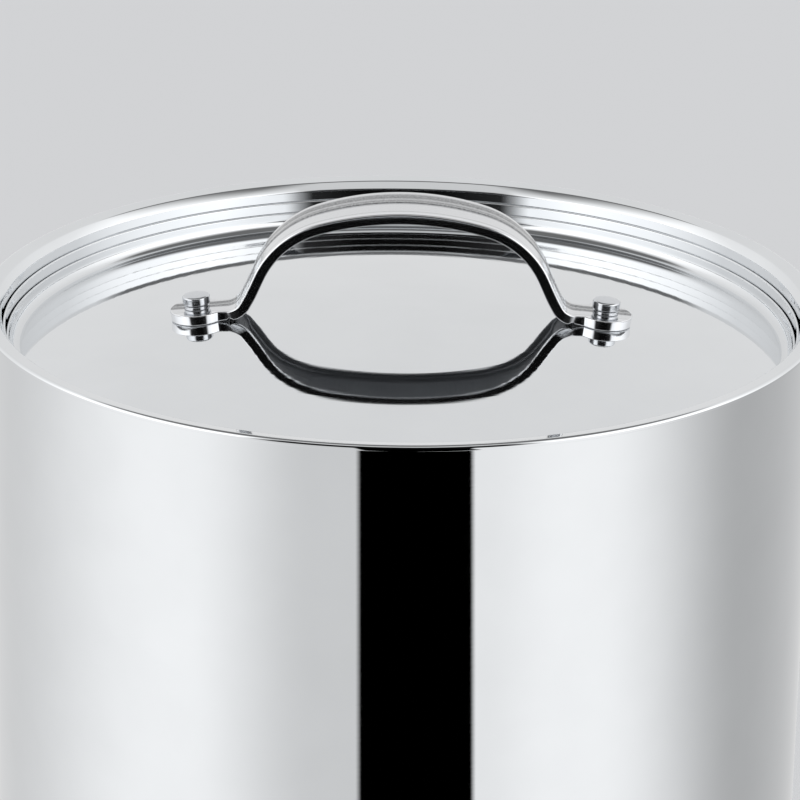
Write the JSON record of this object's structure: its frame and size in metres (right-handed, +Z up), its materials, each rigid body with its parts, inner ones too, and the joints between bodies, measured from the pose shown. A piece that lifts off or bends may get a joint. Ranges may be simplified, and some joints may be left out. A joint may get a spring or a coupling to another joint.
{
  "type": "soup kettle",
  "caption": "Electric wet-heat soup kettle: round polished steel casing, recessed domed lid with a riveted strap handle, lift-out soup pot, front control knob.",
  "frame": {"origin": "on the table the kettle stands on, under the kettle's own axis", "axes": "+Z up along the kettle's axis; the control knob faces -Y; the lid handle's strap runs along X"},
  "size_m": [0.318, 0.3461, 0.3724],
  "materials": {
    "mirror_steel": "mirror polished stainless steel",
    "handle_steel": "polished stainless steel with a fine tumbled grain",
    "pot_steel": "polished stainless steel, spun inside",
    "satin_steel": "satin mill finish",
    "zinc_steel": "bright zinc plate",
    "cast_aluminium": "as cast",
    "element_sheath": "oxidised steel sheath",
    "brass": "drawn brass",
    "black_plastic": "moulded, fine spark texture",
    "white_plastic": "moulded",
    "amber_lens": "clear moulded lens",
    "wire_sheath": "silicone rubber sheath",
    "black_rubber": "moulded rubber"
  },
  "bodies": {
    "kettle": {"outer_casing": "mirror_steel", "top_collar": "mirror_steel", "base_plate": "satin_steel", "feet": "black_rubber", "foot_screws": "zinc_steel", "foot_nuts": "zinc_steel", "water_pan": "satin_steel", "heater_plate": "cast_aluminium", "heating_element": "element_sheath", "element_terminals": "zinc_steel", "element_clamp": "zinc_steel", "centre_stud": "zinc_steel", "stud_nuts": "zinc_steel", "shield_spacer": "zinc_steel", "heat_shield": "satin_steel", "thermostat": "zinc_steel", "thermostat_bracket": "satin_steel", "thermostat_screws": "zinc_steel", "thermostat_bulb": "brass", "bulb_clips": "zinc_steel", "thermal_cutout": "black_plastic", "cutout_nuts": "zinc_steel", "dial_bezel": "black_plastic", "lamp_body": "black_plastic", "lamp_lens": "amber_lens", "lamp_clip": "zinc_steel", "power_inlet": "black_plastic", "inlet_pins": "brass", "inlet_screws": "zinc_steel", "inlet_nuts": "zinc_steel", "terminal_block": "white_plastic", "terminal_screws": "zinc_steel", "earth_stud": "brass", "earth_nut": "brass", "inner_wiring": "wire_sheath"},
    "knob": {"control_knob": "black_plastic", "thermostat_shaft": "zinc_steel", "knob_spring": "zinc_steel"},
    "pot": {"soup_pot": "pot_steel", "pot_rim": "pot_steel"},
    "lid": {"lid_pan": "mirror_steel", "lid_handle": "handle_steel", "lid_rivets": "mirror_steel", "rivet_collars": "mirror_steel", "rivet_burrs": "mirror_steel"}
  },
  "joints": [
    {"name": "pot_lift", "type": "slide", "parent": "kettle", "child": "pot", "axis": [0, 0, 1], "range_m": [0, 0.24]},
    {"name": "lid_lift", "type": "slide", "parent": "pot", "child": "lid", "axis": [0, 0, 1], "range_m": [0, 0.12]},
    {"name": "knob_turn", "type": "hinge", "parent": "kettle", "child": "knob", "pos_m": [0, -0.158, 0.058], "axis": [0, 1, 0], "range_deg": [0, 270]}
  ]
}
